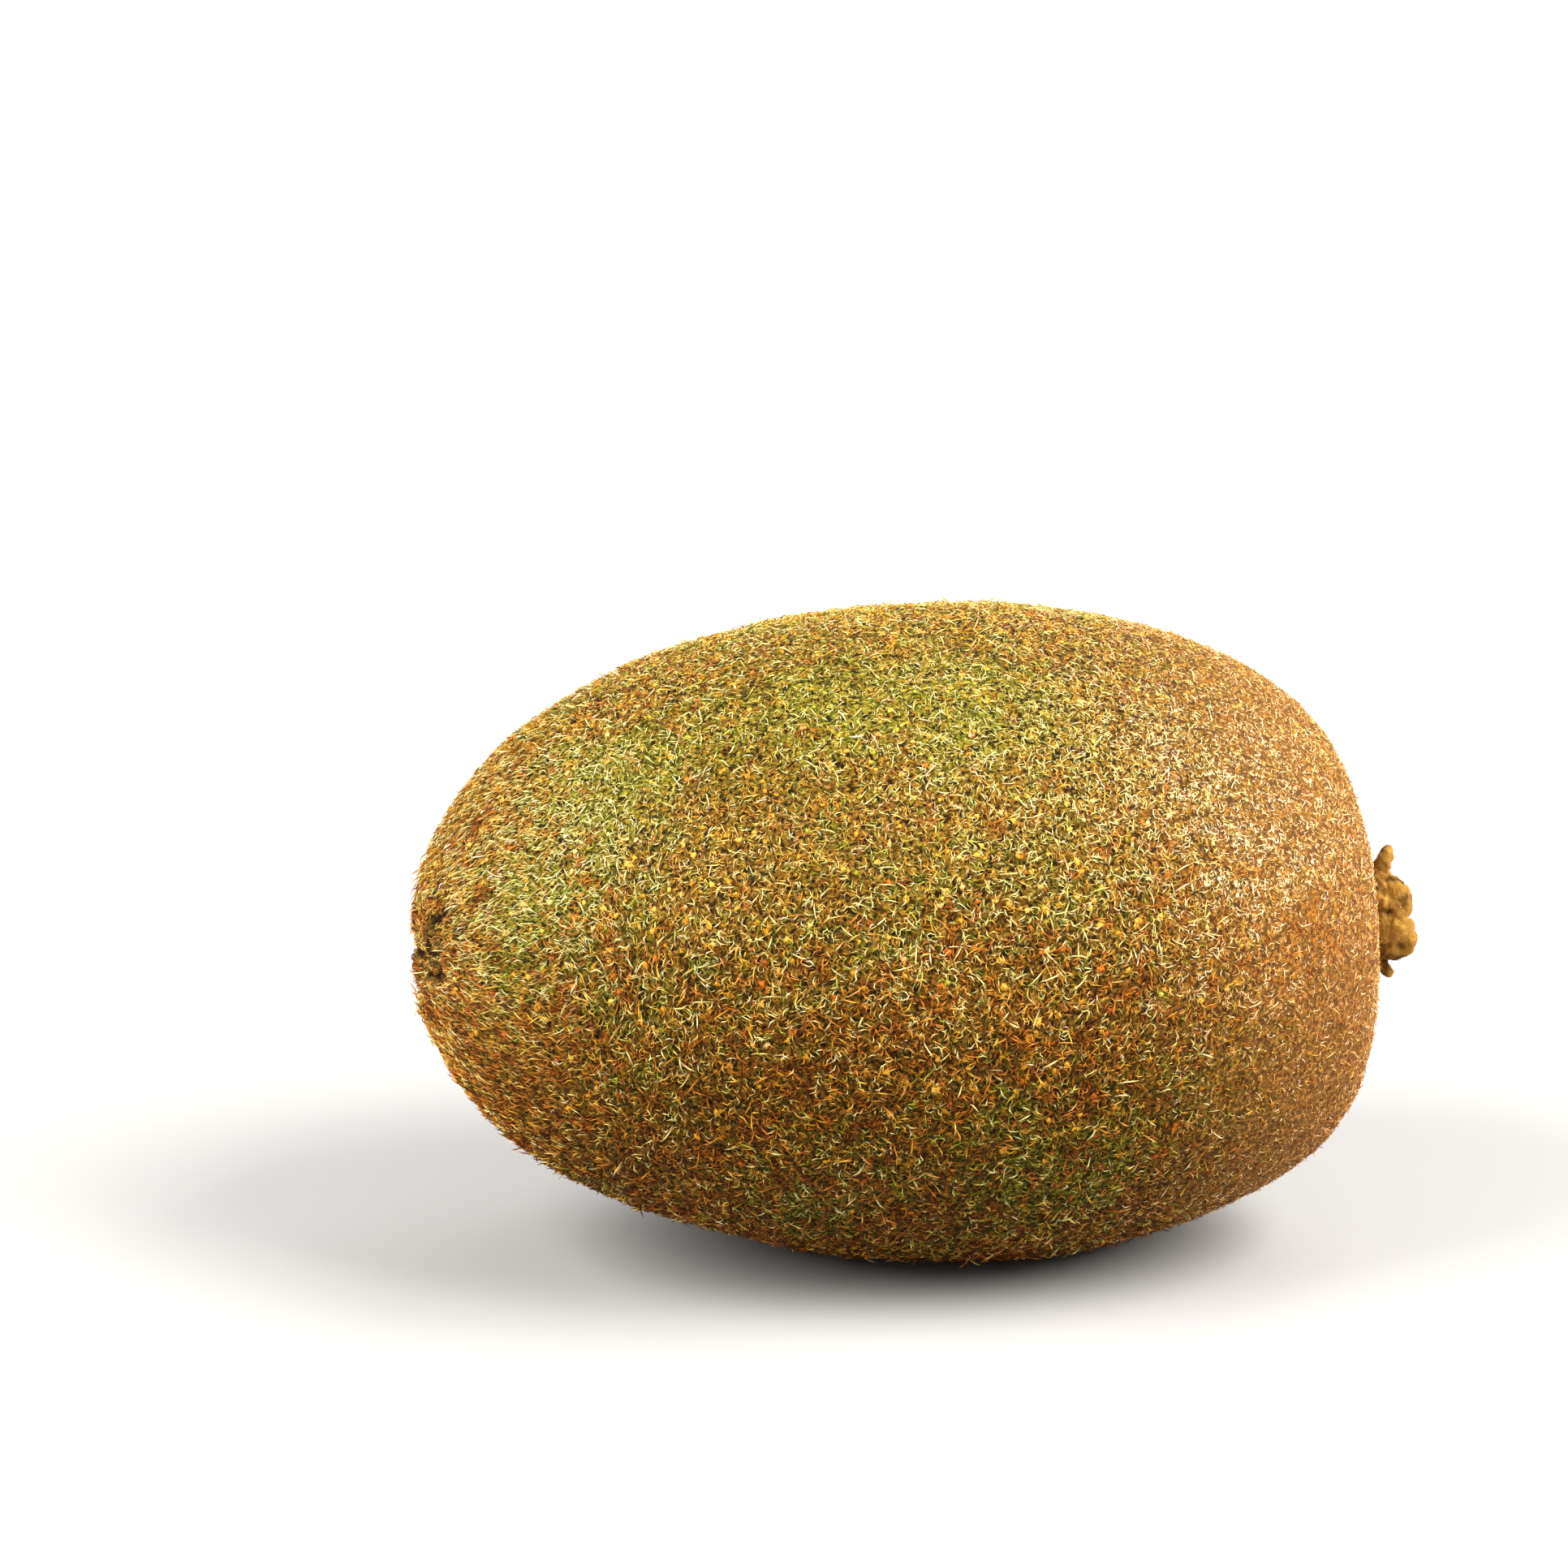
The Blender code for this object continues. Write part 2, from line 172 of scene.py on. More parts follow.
# Bends of each kind: the sideways place of each ring and the tip, then how high each stands
NAP_BENDS = (((0.0,), (0.05,)), ((0.0,), (0.0,)))
CURLY_BENDS = (((0.20, 0.0), (0.20, 0.03)), ((-0.20, 0.02), (0.18, 0.05)), ((0.26, 0.12), (0.18, 0.02)),
               ((-0.26, -0.14), (0.20, 0.06)), ((0.08, 0.36), (0.22, 0.0)), ((-0.10, -0.36), (0.18, 0.04)),
               ((0.14, -0.16), (0.16, 0.10)), ((-0.14, 0.18), (0.22, 0.12)))
STRAW_BENDS = (((0.02, 0.06, 0.14), (0.06, 0.08, 0.06)), ((-0.03, -0.08, -0.16), (0.07, 0.09, 0.04)),
               ((0.05, 0.16, 0.30), (0.08, 0.10, 0.06)), ((-0.06, -0.10, 0.02), (0.06, 0.10, 0.10)),
               ((0.06, 0.06, -0.06), (0.05, 0.05, 0.02)), ((-0.04, -0.16, -0.34), (0.06, 0.08, 0.02)))
# Tufts: the pad's shape, how high it sits, how crumpled it is, and where between root and tip its tone is,
# so its lower side takes the painted root shade
PAD_SHAPE = (0.66, 0.56, 0.42)
PAD_RISE = 0.08
PAD_CRUMPLE = 0.4
PAD_SHADE = 0.45
TUFT_SPOKES, TUFT_VARIANTS, TUFT_SEED = 3, 8, 77
# The hairs that curl out of a pad: how far they stray from even turns, how high they stand in degrees,
# and their length as a share of the tuft's
SPOKE_STRAY = 0.5
SPOKE_LIFT = (8.0, 50.0)
SPOKE_LENGTH = (0.6, 1.0)

# How deep the roots are buried, and the flattest that a hair is pressed by the table
ROOT_DEPTH = 0.05 * MM
FLATTEST = 0.04
# Above 1, short hairs are commoner than long ones
LENGTH_SKEW = 1.3
# Where the hairs get shorter towards the stalk in mm along the fruit, and how much
STALK_SHORTENS = (6.0, 25.0)
STALK_SHORTER = 0.45
# Where the hairs' roots turn paler towards the stalk in mm, and how much of the painted root shade is left
# out
PALE_ROOTS_FROM = (10.0, 30.0)
PALE_ROOTS = 0.7
# Small steps on the tone map from corner to corner, so that no triangle of it is empty
TONE_STEP = 0.003
ROOT_TO_TIP_STEP = 0.004
# How near the tone map's sides a hair comes, and where on the map its root and its tip are
MAP_MARGIN = 0.001
ROOT_ON_MAP, TIP_ON_MAP = 0.01, 0.99

# Where the hairs begin to fall in line with the pucker, in mm along the axis from the style end
PUCKER_COMB = (3.0, 17.0)
PUCKER_ORDER = 0.84
# Stray hairs: how many there are, and how much higher they stand; and how low or high any hair goes
STRAYS, STRAY_LIFT = 0.025, 26.0
LIFT_LIMITS = (-4.0, 60.0)

# The upper side's down is finer: how much shorter its hairs are, how much less they vary in clumps,
# how much paler they are as painted light from above, and how much more the hairs lower down differ from
# each other
UPPER_FROM = (0.5, 0.85)
UPPER_SHORTER, UPPER_CALM, UPPER_PAINTED_LIGHT, LOWER_LIVELY = 0.24, 0.55, 0.09, 0.32
# Painted shade on the underside: how much darker it is, and from where to where its normals point down
UNDERSIDE_PAINTED_SHADE = 0.27
UNDERSIDE_FROM = (-0.35, 0.75)
# How much less the tan hairs at the stalk end differ from each other
STALK_CALM = 0.5

# Painted highlights: paler hairs on the shoulders and upper middle, where the light falls brightest: middle
# in mm, reach in mm, how much paler
PAINTED_HIGHLIGHTS = (((-25.5, -13.5, 33.0), 7.0, 0.40), ((2.0, -17.5, 36.0), 9.0, 0.20),
               ((19.0, -17.5, 35.0), 9.0, 0.82), ((-31.0, -7.0, 25.0), 6.0, 0.16))
# Patches where green shows through: middle in mm, reach in mm, strength. The one at (-25.5, -13.5, 33) also
# tints the painted highlight on the left shoulder green
GREEN_PATCHES = (
    ((-9.0, -12.0, 41.5), 5.0, 1.2), ((1.5, -13.5, 41.5), 5.0, 1.3), ((-20.0, -11.0, 37.5), 4.5, 0.9),
    ((-29.0, -13.0, 27.0), 3.5, 1.1), ((-25.5, -13.5, 33.0), 5.0, 0.6), ((3.5, -21.0, 10.0), 5.0, 0.9),
    ((9.5, -21.5, 11.5), 4.0, 0.8), ((-11.0, -18.5, 8.0), 4.0, 0.7), ((12.0, 14.0, 38.0), 7.0, 1.0),
    ((-14.0, 20.0, 27.0), 8.0, 0.9), ((6.0, 22.0, 14.0), 7.0, 0.8),
)
# The faint green mottle under the patches: strength, where it sets in, and size; and how ragged the
# patches' edges are
MOTTLE_GREEN, MOTTLE_FROM, MOTTLE_SIZE = 0.25, (0.1, 0.5), 7.0 * MM
RAGGED, RAG_SIZE = 0.5, 2.2 * MM
# Small stains: middle in mm, reach in mm, the row of tones that it leans to, how much paler
STAINS = (
    ((-30.8, -5.1, 32.2), 0.6, "rust", -0.7), ((-31.0, -10.1, 28.2), 0.6, "rust", -0.6),
    ((-25.0, -16.0, 29.7), 1.0, "rust", -0.05), ((25.2, -18.9, 25.6), 1.4, "rust", 0.1),
    ((22.9, -20.2, 26.6), 1.6, "rust", 0.0), ((-30.0, -13.0, 25.0), 0.9, "rust", -0.3),
)
STAIN_PULL = 4.0

# Hair tones: each row runs from dark to pale along its stretch of the tone map
TONE_ROWS = {
    "rust": (0.01, 0.19, ((66, 26, 8), (146, 72, 18), (194, 108, 30), (218, 142, 56))),
    "gold": (0.22, 0.45, ((60, 36, 8), (150, 98, 22), (210, 148, 40), (232, 184, 76), (248, 224, 148))),
    "green": (0.48, 0.72, ((40, 42, 8), (100, 98, 18), (156, 148, 36), (200, 188, 74), (240, 232, 158))),
    "tan": (0.75, 0.99, ((108, 62, 28), (170, 108, 54), (208, 149, 82), (236, 192, 122), (252, 230, 182))),
}
ROWS = tuple(TONE_ROWS)
HAIR_TONES = tuple((low + (high - low) * k / (len(row) - 1), srgb(*row[k]))
                   for low, high, row in TONE_ROWS.values() for k in range(len(row)))
# Zones: the top, by where the skin faces; wide patches of noise; the style end, in mm from it; the
# stalk end, in mm along the fruit. Noise of the given strength and size makes the edges ragged.
TOP_ZONE, TOP_RAGGED, TOP_RAG_SIZE = (-0.1, 0.85), 0.25, 12.0 * MM
PATCH_ZONE, PATCH_SIZE = (0.0, 0.45), 8.0 * MM
STYLE_ZONE = (1.5, 9.0)
STALK_ZONE, STALK_RAGGED, STALK_RAG_SIZE = (6.0, 27.0), 4.0, 9.0 * MM
# How much of each row grows in each zone of the fruit, and how much of it a zone then takes away; the top's
# green and tan and the flanks' rust are partly the fruit's own colour, partly painted sheen on top and
# painted shade on the flanks
GROWS = {
    "rust": {"all over": 0.08, "flank": 0.68, "patch": 0.16, "style end": 0.2},
    "gold": {"all over": 0.55, "style end": 0.5},
    "green": {"all over": 0.08, "top": 0.30, "green patch": 1.5},
    "tan": {"all over": 0.05, "top": 0.1, "stalk end": 1.3},
}
FADES = {
    "rust": {"stalk end": 0.7},
    "gold": {"stalk end": 0.6},
    "green": {"style end": 0.6, "stalk end": 0.8},
    "tan": {},
}
# Flecks of one row: their size, and how far chance blurs them; and the size of pale and dark clumps
FLECK_SIZE, FLECK_BLUR = 1.1 * MM, 0.2
CLUMP_SIZE = 0.7 * MM
# Wide, faint swings of paleness: their size and strength
SWING_SIZE, SWING_PALER = 7.0 * MM, 0.08
# The darkest and the palest that a hair gets along its row
TONE_ENDS = (0.02, 0.98)

# Calyx, scar and styles: lumps as size and height, and how deep a hollow is, as a share of all the lumps'
# height, before its painted shade is full
CALYX_LUMPS = ((1.5 * MM, 0.26 * MM), (0.75 * MM, 0.20 * MM), (0.4 * MM, 0.10 * MM))
SCAR_LUMPS = ((0.7 * MM, 0.08 * MM), (0.25 * MM, 0.04 * MM))
HOLLOW_FULL = 0.36
DRY_LUMP_SEED = 11
BLACK = (0.0, 0.0, 0.0, 1.0)


# Shared helpers

def alone(obj):
    """Leaves obj as the only thing selected, and active."""
    bpy.ops.object.select_all(action="DESELECT")
    obj.select_set(True)
    bpy.context.view_layer.objects.active = obj


def apply_modifiers(obj):
    alone(obj)
    for modifier in list(obj.modifiers):
        bpy.ops.object.modifier_apply(modifier=modifier.name)


def dress(obj, material, slot, *nodes):
    """Gives a finished piece its material and its body, and hides the CAD nodes that it stands for; slot is
    not used.
    """
    obj.data.materials.clear()
    obj.data.materials.append(material)
    if nodes:
        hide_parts(*nodes)
    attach(obj, "root")
    return obj


def fine_copy(node, name, levels):
    """A CAD node's mesh copied, merged, turned into quads and subdivided."""
    obj = bpy.data.objects.new(name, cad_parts[node].data.copy())
    bpy.context.scene.collection.objects.link(obj)
    alone(obj)
    bpy.ops.mesh.customdata_custom_splitnormals_clear()
    bpy.ops.object.mode_set(mode="EDIT")
    bpy.ops.mesh.select_all(action="SELECT")
    bpy.ops.mesh.remove_doubles(threshold=MERGE_DISTANCE)
    bpy.ops.mesh.tris_convert_to_quads()
    bpy.ops.object.mode_set(mode="OBJECT")
    fine = obj.modifiers.new("Fine", "SUBSURF")
    fine.levels = fine.render_levels = levels
    apply_modifiers(obj)
    bpy.ops.object.shade_smooth()
    return obj


def places_and_normals(obj):
    """The vertices of a mesh and their normals as arrays."""
    count = len(obj.data.vertices)
    places, normals = np.empty(count * 3), np.empty(count * 3)
    obj.data.vertices.foreach_get("co", places)
    obj.data.vertices.foreach_get("normal", normals)
    return places.reshape(-1, 3), normals.reshape(-1, 3)


def move_vertices(obj, places):
    obj.data.vertices.foreach_set("co", places.ravel())
    obj.data.update()


def mark_vertices(obj, name, mask):
    """Keeps a mask on a mesh, for its material to read."""
    obj.data.attributes.new(name, "FLOAT", "POINT").data.foreach_set("value", mask.astype(np.float32))


def lumps(places, size, seed):
    """Smooth noise from about -1 to 1 at each place, with lumps about as wide as size."""
    shift = Vector((seed * 7.31, seed * 3.17, seed * 5.77))
    return np.array([noise.noise(Vector(place) / size + shift) for place in places])


def smooth_step(low, high, value):
    share = np.clip((value - low) / (high - low), 0.0, 1.0)
    return share * share * (3.0 - 2.0 * share)


def unit(vectors):
    return vectors / np.maximum(np.linalg.norm(vectors, axis=-1, keepdims=True), 1e-12)


# Node building

def new_material(name):
    material = bpy.data.materials.new(name)
    material.use_nodes = True
    tree = material.node_tree
    return material, tree, tree.nodes["Principled BSDF"]


def add_node(tree, kind, **values):
    """A node whose inputs and settings are given by name; input names use _ for a space."""
    node = tree.nodes.new(kind)
    for key, value in values.items():
        socket = node.inputs.get(key.replace("_", " "))
        if socket is not None:
            socket.default_value = value
        else:
            setattr(node, key, value)
    return node


def ramp(tree, stops):
    """A colour ramp with these stops."""
    node = tree.nodes.new("ShaderNodeValToRGB")
    elements = node.color_ramp.elements
    elements[0].position, elements[-1].position = stops[0][0], stops[-1][0]
    for place, colour in stops[1:-1]:
        elements.new(place)
    for element, (place, colour) in zip(elements, stops):
        element.color = colour
    return node


def mix(tree, factor, one, other, blend="MIX"):
    """A colour mix; each of factor, one and other is a socket or a value. Gives the result's socket."""
    node = tree.nodes.new("ShaderNodeMix")
    node.data_type = "RGBA"
    node.blend_type = blend
    for name, value in (("Factor_Float", factor), ("A_Color", one), ("B_Color", other)):
        socket = next(s for s in node.inputs if s.identifier == name)
        if isinstance(value, bpy.types.NodeSocket):
            tree.links.new(value, socket)
        else:
            socket.default_value = value
    return next(s for s in node.outputs if s.identifier == "Result_Color")


def bump_from(tree, height, shader, strength, distance):
    """Fine relief on a shader's normal."""
    bump = add_node(tree, "ShaderNodeBump", Strength=strength, Distance=distance)
    tree.links.new(height, bump.inputs["Height"])
    tree.links.new(bump.outputs["Normal"], shader.inputs["Normal"])


def group_tree(name, inputs, outputs):
    """An empty node group with these sockets, and its input and output nodes."""
    tree = bpy.data.node_groups.new(name, "ShaderNodeTree")
    for label, kind, value in inputs:
        socket = tree.interface.new_socket(label, in_out="INPUT", socket_type=kind)
        socket.default_value = value
    for label, kind in outputs:
        tree.interface.new_socket(label, in_out="OUTPUT", socket_type=kind)
    return tree, tree.nodes.new("NodeGroupInput"), tree.nodes.new("NodeGroupOutput")


def use_group(tree, group, **values):
    """A group placed in a material with its own values; value names use _ for a space."""
    node = tree.nodes.new("ShaderNodeGroup")
    node.node_tree = group
    for key, value in values.items():
        node.inputs[key.replace("_", " ")].default_value = value
    return node


def mottle_group():
    """Patches and specks that any dry plant skin shows: a wide patch mask, a speck mask and a height."""
    tree, given, out = group_tree(
        "plant_mottle",
        (("Patch Scale", "NodeSocketFloat", 90.0), ("Speck Scale", "NodeSocketFloat", 900.0),
         ("Seed", "NodeSocketFloat", 0.0)),
        (("Patch", "NodeSocketFloat"), ("Speck", "NodeSocketFloat"), ("Height", "NodeSocketFloat")))
    place = tree.nodes.new("ShaderNodeTexCoord")
    patch = add_node(tree, "ShaderNodeTexNoise", noise_dimensions="4D", Detail=3.0, Roughness=0.55)
    speck = add_node(tree, "ShaderNodeTexNoise", noise_dimensions="4D", Detail=4.0, Roughness=0.6)
    for node, label in ((patch, "Patch"), (speck, "Speck")):
        tree.links.new(place.outputs["Object"], node.inputs["Vector"])
        tree.links.new(given.outputs["Seed"], node.inputs["W"])
        tree.links.new(given.outputs[f"{label} Scale"], node.inputs["Scale"])
        spread = add_node(tree, "ShaderNodeMapRange", From_Min=0.35, From_Max=0.65)
        tree.links.new(node.outputs["Fac"], spread.inputs["Value"])
        tree.links.new(spread.outputs["Result"], out.inputs[label])
    tree.links.new(speck.outputs["Fac"], out.inputs["Height"])
    return tree


def hair_tone_group():
    """The colour of a hair from its own map: U is its tone and V runs from root to tip; towards the root it
    is darkened as painted shade between the hairs.
    """
    tree, given, out = group_tree(
        "hair_tone",
        (("Root Shade", "NodeSocketFloat", 0.45), ("Tip Shade", "NodeSocketFloat", 1.0)),
        (("Color", "NodeSocketColor"),))
    place = add_node(tree, "ShaderNodeUVMap", uv_map="OFBake")
    parts = tree.nodes.new("ShaderNodeSeparateXYZ")
    tones = ramp(tree, HAIR_TONES)
    # Painted shade between the hairs: the colour darkens towards the root, from Root Shade to Tip Shade
    shade = add_node(tree, "ShaderNodeMapRange", From_Min=0.0, From_Max=0.7)
    tree.links.new(place.outputs["UV"], parts.inputs["Vector"])
    tree.links.new(parts.outputs["X"], tones.inputs["Fac"])
    tree.links.new(parts.outputs["Y"], shade.inputs["Value"])
    tree.links.new(given.outputs["Root Shade"], shade.inputs["To Min"])
    tree.links.new(given.outputs["Tip Shade"], shade.inputs["To Max"])
    grey = tree.nodes.new("ShaderNodeCombineColor")
    for channel in ("Red", "Green", "Blue"):
        tree.links.new(shade.outputs["Result"], grey.inputs[channel])
    colour = mix(tree, 1.0, tones.outputs["Color"], grey.outputs["Color"], "MULTIPLY")
    tree.links.new(colour, out.inputs["Color"])
    return tree


# Materials

def along_fruit(tree, low, high):
    """A mask that goes from 0 to 1 between two places along the fruit."""
    place = tree.nodes.new("ShaderNodeTexCoord")
    parts = tree.nodes.new("ShaderNodeSeparateXYZ")
    share = add_node(tree, "ShaderNodeMapRange", From_Min=low, From_Max=high,
                     interpolation_type="SMOOTHSTEP")
    tree.links.new(place.outputs["Object"], parts.inputs["Vector"])
    tree.links.new(parts.outputs["X"], share.inputs["Value"])
    return share.outputs["Result"]


def down_of_skin(tree):
    """The matted down between the hairs: a mask of the painted shade in its gaps, and the colour of each
    fleck.
    """
    place = tree.nodes.new("ShaderNodeTexCoord")
    bend = add_node(tree, "ShaderNodeTexNoise", Scale=1500.0, Detail=2.0)
    bent = add_node(tree, "ShaderNodeVectorMath", operation="MULTIPLY_ADD")
    bent.inputs[1].default_value = (DOWN_BEND, DOWN_BEND, DOWN_BEND)
    cells = add_node(tree, "ShaderNodeTexVoronoi", Scale=3400.0)
    gap_shade = add_node(tree, "ShaderNodeMapRange", From_Min=0.72, From_Max=0.3)
    flecks = ramp(tree, DOWN_FLECKS)
    tree.links.new(place.outputs["Object"], bend.inputs["Vector"])
    tree.links.new(bend.outputs["Color"], bent.inputs[0])
    tree.links.new(place.outputs["Object"], bent.inputs[2])
    tree.links.new(bent.outputs["Vector"], cells.inputs["Vector"])
    tree.links.new(cells.outputs["Distance"], gap_shade.inputs["Value"])
    tree.links.new(cells.outputs["Color"], flecks.inputs["Fac"])
    return gap_shade.outputs["Result"], flecks.outputs["Color"]


def skin_material(mottle):
    """Thin skin under matted down: brown and olive, green in patches, tan towards the stalk, with painted
    shade in the down's gaps and in the creases.
    """
    material, tree, shader = new_material("kiwi_skin")
    coarse = use_group(tree, mottle, Patch_Scale=75.0, Speck_Scale=520.0, Seed=1.3)
    fine = use_group(tree, mottle, Patch_Scale=420.0, Speck_Scale=1900.0, Seed=4.1)
    green = add_node(tree, "ShaderNodeAttribute", attribute_name="green")
    stalk_side = along_fruit(tree, *SKIN_TURNS_TAN)
    ground = mix(tree, coarse.outputs["Patch"], SKIN_BROWN, SKIN_OLIVE)
    ground = mix(tree, green.outputs["Fac"], ground, SKIN_GREEN)
    ground = mix(tree, stalk_side, ground, SKIN_TAN)
    gap_shade, flecks = down_of_skin(tree)
    ground = mix(tree, 0.45, ground, flecks)
    ground = mix(tree, fine.outputs["Speck"], mix(tree, 0.6, ground, SKIN_SPECK), ground)
    # Painted shade between the flecks of down
    matted = mix(tree, gap_shade, mix(tree, stalk_side, GAP_SHADE, TAN_GAP_SHADE), ground)
    # Painted shade: the crease mask darkens the skin at the creases' bottoms and in the pit
    crease = add_node(tree, "ShaderNodeAttribute", attribute_name="crease")
    slit = add_node(tree, "ShaderNodeMapRange", From_Min=0.0, From_Max=0.45)
    tree.links.new(crease.outputs["Fac"], slit.inputs["Value"])
    tree.links.new(mix(tree, slit.outputs["Result"], matted, CREASE_SHADE), shader.inputs["Base Color"])
    bump_from(tree, fine.outputs["Height"], shader, 0.5, 0.2 * MM)
    shader.inputs["Roughness"].default_value = 0.7
    shader.inputs["Specular IOR Level"].default_value = 0.08
    shader.inputs["Specular Tint"].default_value = SKIN_SHEEN
    return material


def hair_material(name, tones, root_shade, tip_shade, roughness):
    """A hair, darkened towards its root as painted shade between the hairs, with a faint warm sheen."""
    material, tree, shader = new_material(name)
    tone = use_group(tree, tones, Root_Shade=root_shade, Tip_Shade=tip_shade)
    tree.links.new(tone.outputs["Color"], shader.inputs["Base Color"])
    shader.inputs["Roughness"].default_value = roughness
    shader.inputs["Specular IOR Level"].default_value = 0.22
    shader.inputs["Specular Tint"].default_value = HAIR_SHEEN
    return material


def dry_material(name, mottle, dark, pale, roughness, patch_scale, speck_scale, seed, relief):
    """A dry, matt plant surface that varies between two colours and has painted shade in its hollows."""
    material, tree, shader = new_material(name)
    grain = use_group(tree, mottle, Patch_Scale=patch_scale, Speck_Scale=speck_scale, Seed=seed)
    ground = mix(tree, grain.outputs["Patch"], dark, pale)
    shaded = mix(tree, grain.outputs["Speck"], mix(tree, 0.45, ground, dark), ground)
    hollow_shade = add_node(tree, "ShaderNodeAttribute", attribute_name="hollow_shade")
    # Painted shade in the hollows
    shaded = mix(tree, hollow_shade.outputs["Fac"], shaded, mix(tree, 0.6, dark, BLACK))
    tree.links.new(shaded, shader.inputs["Base Color"])
    bump_from(tree, grain.outputs["Height"], shader, 0.8, relief)
    shader.inputs["Roughness"].default_value = roughness
    shader.inputs["Specular IOR Level"].default_value = 0.15
    return material


# Skin

def from_line(points, line):
    """How far each point is from a line of straight stretches, and how far along the line it is."""
    nearest, along = np.full(len(points), np.inf), np.zeros(len(points))
    for step, (start, end) in enumerate(zip(line[:-1], line[1:])):
        start, run = np.array(start), np.array(end) - np.array(start)
        share = np.clip((points - start) @ run / (run @ run), 0.0, 1.0)
        away = np.linalg.norm(points - start - share[:, None] * run, axis=1)
        along = np.where(away < nearest, (step + share) / (len(line) - 1), along)
        nearest = np.minimum(nearest, away)
    return nearest, along


def creases_at(places):
    """How deep the creases round the style end are at each place, and a mask of their bottoms, where the
    skin paints shade.
    """
    end = np.array((STYLE_END.y, STYLE_END.z))
    spread = (places[:, 1:] - end) / MM
    near = (np.linalg.norm(spread, axis=1) < CREASE_REACH) & (places[:, 0] < 0)
    swing_size, swing = CREASE_WANDER
    wander = lumps(places[near], swing_size, seed=51) * swing
    depth, dark = np.zeros(len(places)), np.zeros(len(places))
    lip, lip_place, lip_width = CREASE_LIP
    for line, deep, half_width in CREASES:
        away, along = from_line(spread[near] + wander[:, None], line)
        taper = CREASE_ENDS + (1.0 - CREASE_ENDS) * np.sin(math.pi * along) ** CREASE_SWELL
        fold = np.exp(-(away / (half_width * taper)) ** 2)
        depth[near] = np.maximum(depth[near], deep * taper * fold)
        depth[near] -= lip * deep * taper * np.exp(-((away - lip_place) / lip_width) ** 2)
        dark[near] = np.maximum(dark[near], fold)
    pit = 1.0 - smooth_step(*PIT_REACH, np.linalg.norm(spread, axis=1))
    return depth * MM, np.where(places[:, 0] < 0, np.maximum(dark, pit), 0.0)


def near_to(places, middle, reach):
    """A soft mask that is 1 at a point given in mm and fades with distance, reach in mm."""
    return np.exp(-(np.linalg.norm(places / MM - np.array(middle), axis=1) / reach) ** 2)


def green_at(places):
    """How green each place is: a few ragged patches over a faint wide mottle."""
    green = MOTTLE_GREEN * smooth_step(*MOTTLE_FROM, lumps(places, MOTTLE_SIZE, seed=34))
    ragged = 1.0 + RAGGED * lumps(places, RAG_SIZE, seed=35)
    for middle, reach, strength in GREEN_PATCHES:
        green = green + strength * near_to(places, middle, reach * ragged)
    return green


def kiwi_skin(material):
    """The skin, creased at the pucker, a little inside the solid's surface, as the hairs fill up to it."""
    skin = fine_copy("fruit", "skin", 2)
    places, normals = places_and_normals(skin)
    depth, dark = creases_at(places)
    places = places - normals * (SKIN_SINK + depth)[:, None]
    for seed, (size, height) in enumerate(SKIN_LUMPS):
        places = places + normals * (lumps(places, size, seed) * height)[:, None]
    places[:, 2] = np.maximum(places[:, 2], FLOOR_GAP)
    move_vertices(skin, places)
    mark_vertices(skin, "crease", dark)
    mark_vertices(skin, "green", np.clip(green_at(places), 0.0, 1.0))
    return dress(skin, material, "nap", "fruit")


# Hair models

def numbers_of(obj):
    """A small model as arrays: its vertices, its triangles, and each vertex's place along it."""
    mesh = obj.data
    mesh.calc_loop_triangles()
    places = np.array([vertex.co for vertex in mesh.vertices])
    triangles = np.array([list(triangle.vertices) for triangle in mesh.loop_triangles])
    return places, triangles, places[:, 0].copy()


def hair_model(girth, rings, curl, rise):
    """One hair along +X, a unit long: a three-sided cone cut into rings, then curled ring by ring.

    Its root is left open, as it is buried in the skin. curl gives each ring and the tip its sideways
    place, and rise how high it stands.
    """
    bpy.ops.object.select_all(action="DESELECT")
    bpy.ops.mesh.primitive_cone_add(vertices=3, radius1=girth / 2, radius2=0, depth=1,
                                    end_fill_type="NOTHING", location=(0.5, 0, 0),
                                    rotation=(0, math.pi / 2, 0))
    hair = bpy.context.object
    bpy.ops.object.transform_apply(location=True, rotation=True, scale=True)
    bpy.ops.object.mode_set(mode="EDIT")
    for share in rings:
        bpy.ops.mesh.select_all(action="SELECT")
        bpy.ops.mesh.bisect(plane_co=(share, 0, 0), plane_no=(1, 0, 0))
    bpy.ops.mesh.select_all(action="SELECT")
    bpy.ops.mesh.quads_convert_to_tris()
    bpy.ops.object.mode_set(mode="OBJECT")
    stations = (0.0,) + tuple(rings) + (1.0,)
    for vertex in hair.data.vertices:
        share = vertex.co.x
        station = min(range(len(stations)), key=lambda k: abs(stations[k] - share))
        if 0 < station < len(stations) - 1:
            vertex.co.y *= RING_GIRTH / (1.0 - share)
            vertex.co.z *= RING_GIRTH / (1.0 - share)
        if station > 0:
            vertex.co.y += curl[station - 1]
            vertex.co.z += rise[station - 1]
    model = numbers_of(hair)
    bpy.data.objects.remove(hair)
    return model


def hair_models(girth, rings, bends):
    """Several hairs with one set of triangles and different bends."""
    made = [hair_model(girth, rings, curl, rise) for curl, rise in bends]
    return np.array([places for places, triangles, along in made]), made[0][1], made[0][2]


def pad_model():
    """A low matted lump, a unit wide, that the hairs of a tuft grow from."""
    bpy.ops.object.select_all(action="DESELECT")
    bpy.ops.mesh.primitive_ico_sphere_add(subdivisions=1, radius=0.5)
    pad = bpy.context.object
    bpy.ops.transform.resize(value=PAD_SHAPE)
    bpy.ops.object.transform_apply(location=True, rotation=True, scale=True)
    places, triangles = numbers_of(pad)[:2]
    bpy.data.objects.remove(pad)
    return places, triangles


